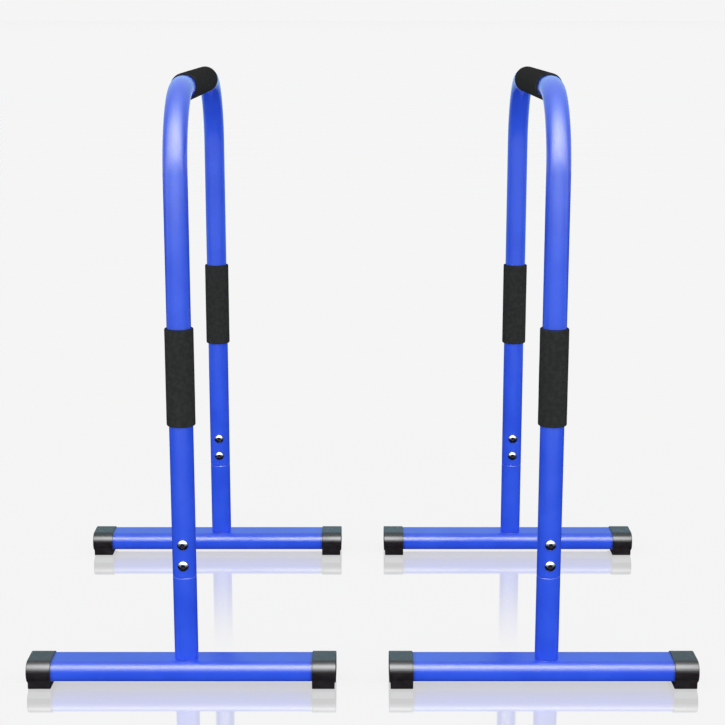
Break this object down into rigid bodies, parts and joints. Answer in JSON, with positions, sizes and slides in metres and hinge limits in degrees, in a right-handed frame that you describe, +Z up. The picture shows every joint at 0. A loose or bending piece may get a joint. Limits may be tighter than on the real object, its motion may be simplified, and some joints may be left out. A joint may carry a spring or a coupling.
{
  "type": "dip station",
  "caption": "Pair of free-standing dip bars: bent round-tube handles with foam grips, bolted to posts on capped T-shaped feet.",
  "frame": {"origin": "on the floor, midway between the two stands and midway between their front and back legs", "axes": "+X along the feet from the left stand to the right one, +Y from the front legs to the back legs, +Z up"},
  "size_m": [1.0804, 0.7308, 0.9703],
  "materials": {
    "blue_paint": "glossy blue powder coat on steel tube",
    "black_plastic": "satin moulded black plastic",
    "charcoal_foam": "matt charcoal closed-cell foam with a fine pebbled skin",
    "bright_steel": "bright plated steel fasteners"
  },
  "bodies": {
    "left_stand": {"left_handle_frame": "blue_paint", "left_top_grip": "charcoal_foam", "left_front_post": "blue_paint", "left_front_crossbar": "blue_paint", "left_front_outer_cap": "black_plastic", "left_front_inner_cap": "black_plastic", "left_front_sleeve": "charcoal_foam", "left_front_lower_bolt": "bright_steel", "left_front_lower_washer": "bright_steel", "left_front_lower_nut": "bright_steel", "left_front_upper_bolt": "bright_steel", "left_front_upper_washer": "bright_steel", "left_front_upper_nut": "bright_steel", "left_back_post": "blue_paint", "left_back_crossbar": "blue_paint", "left_back_outer_cap": "black_plastic", "left_back_inner_cap": "black_plastic", "left_back_sleeve": "charcoal_foam", "left_back_lower_bolt": "bright_steel", "left_back_lower_washer": "bright_steel", "left_back_lower_nut": "bright_steel", "left_back_upper_bolt": "bright_steel", "left_back_upper_washer": "bright_steel", "left_back_upper_nut": "bright_steel"},
    "right_stand": {"right_handle_frame": "blue_paint", "right_top_grip": "charcoal_foam", "right_front_post": "blue_paint", "right_front_crossbar": "blue_paint", "right_front_outer_cap": "black_plastic", "right_front_inner_cap": "black_plastic", "right_front_sleeve": "charcoal_foam", "right_front_lower_bolt": "bright_steel", "right_front_lower_washer": "bright_steel", "right_front_lower_nut": "bright_steel", "right_front_upper_bolt": "bright_steel", "right_front_upper_washer": "bright_steel", "right_front_upper_nut": "bright_steel", "right_back_post": "blue_paint", "right_back_crossbar": "blue_paint", "right_back_outer_cap": "black_plastic", "right_back_inner_cap": "black_plastic", "right_back_sleeve": "charcoal_foam", "right_back_lower_bolt": "bright_steel", "right_back_lower_washer": "bright_steel", "right_back_lower_nut": "bright_steel", "right_back_upper_bolt": "bright_steel", "right_back_upper_washer": "bright_steel", "right_back_upper_nut": "bright_steel"}
  },
  "joints": [
    {"name": "stand_spacing", "type": "slide", "parent": "left_stand", "child": "right_stand", "axis": [1, 0, 0], "range_m": [-0.075, 0.22]}
  ]
}
